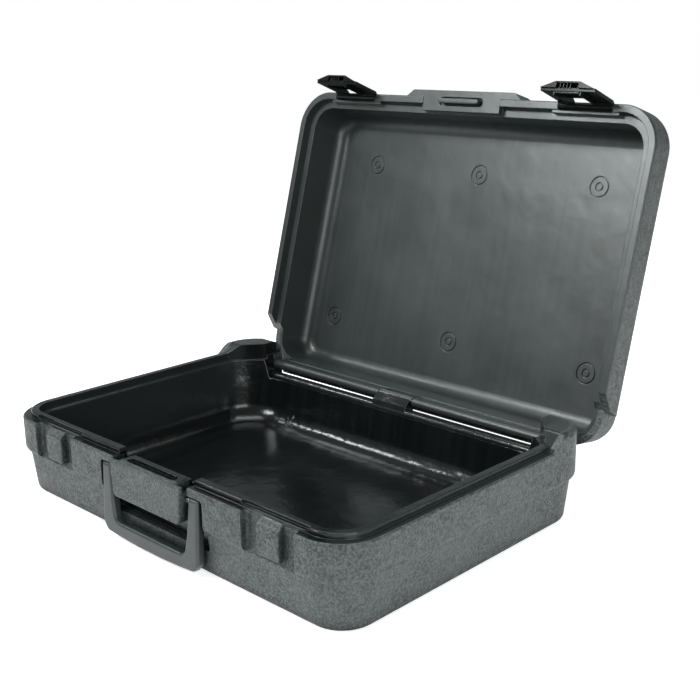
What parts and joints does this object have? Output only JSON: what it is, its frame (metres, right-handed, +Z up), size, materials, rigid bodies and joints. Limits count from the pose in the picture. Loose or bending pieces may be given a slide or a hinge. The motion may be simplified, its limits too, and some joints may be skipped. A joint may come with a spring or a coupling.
{
  "type": "hard equipment case",
  "caption": "Blow-moulded double-wall hard case with rounded corners, a hinged lid that opens past upright, a drop-down front handle and snap latches on pins.",
  "frame": {"origin": "centre of the base's flat bottom face", "axes": "+X across the case, +Y from the handle to the hinge, +Z up"},
  "size_m": [0.44, 0.4505, 0.37],
  "materials": {
    "shell": "fine pebble outside, satin inside",
    "handle": "satin",
    "latch": "semi-gloss",
    "steel": "drawn wire"
  },
  "bodies": {
    "base": {"base_shell": "shell", "hinge_rod": "steel", "handle_pin_left": "steel", "handle_pin_right": "steel"},
    "lid": {"lid_shell": "shell", "latch_pin_left": "steel", "latch_pin_right": "steel"},
    "carry_handle": {"handle": "handle"},
    "left_latch": {"latch_left": "latch"},
    "right_latch": {"latch_right": "latch"}
  },
  "joints": [
    {"name": "lid_hinge", "type": "hinge", "parent": "base", "child": "lid", "pos_m": [0, 0.147, 0.062], "axis": [1, 0, 0], "range_deg": [0, 105.75]},
    {"name": "handle_pivot", "type": "hinge", "parent": "base", "child": "carry_handle", "pos_m": [0, -0.153, 0.062], "axis": [-1, 0, 0], "range_deg": [0, 98]},
    {"name": "left_latch_pivot", "type": "hinge", "parent": "lid", "child": "left_latch", "pos_m": [0, 0.24287, 0.34667], "axis": [-1, 0, 0], "range_deg": [-5, 100]},
    {"name": "right_latch_pivot", "type": "hinge", "parent": "lid", "child": "right_latch", "pos_m": [0, 0.24287, 0.34667], "axis": [-1, 0, 0], "range_deg": [-5, 100]}
  ]
}
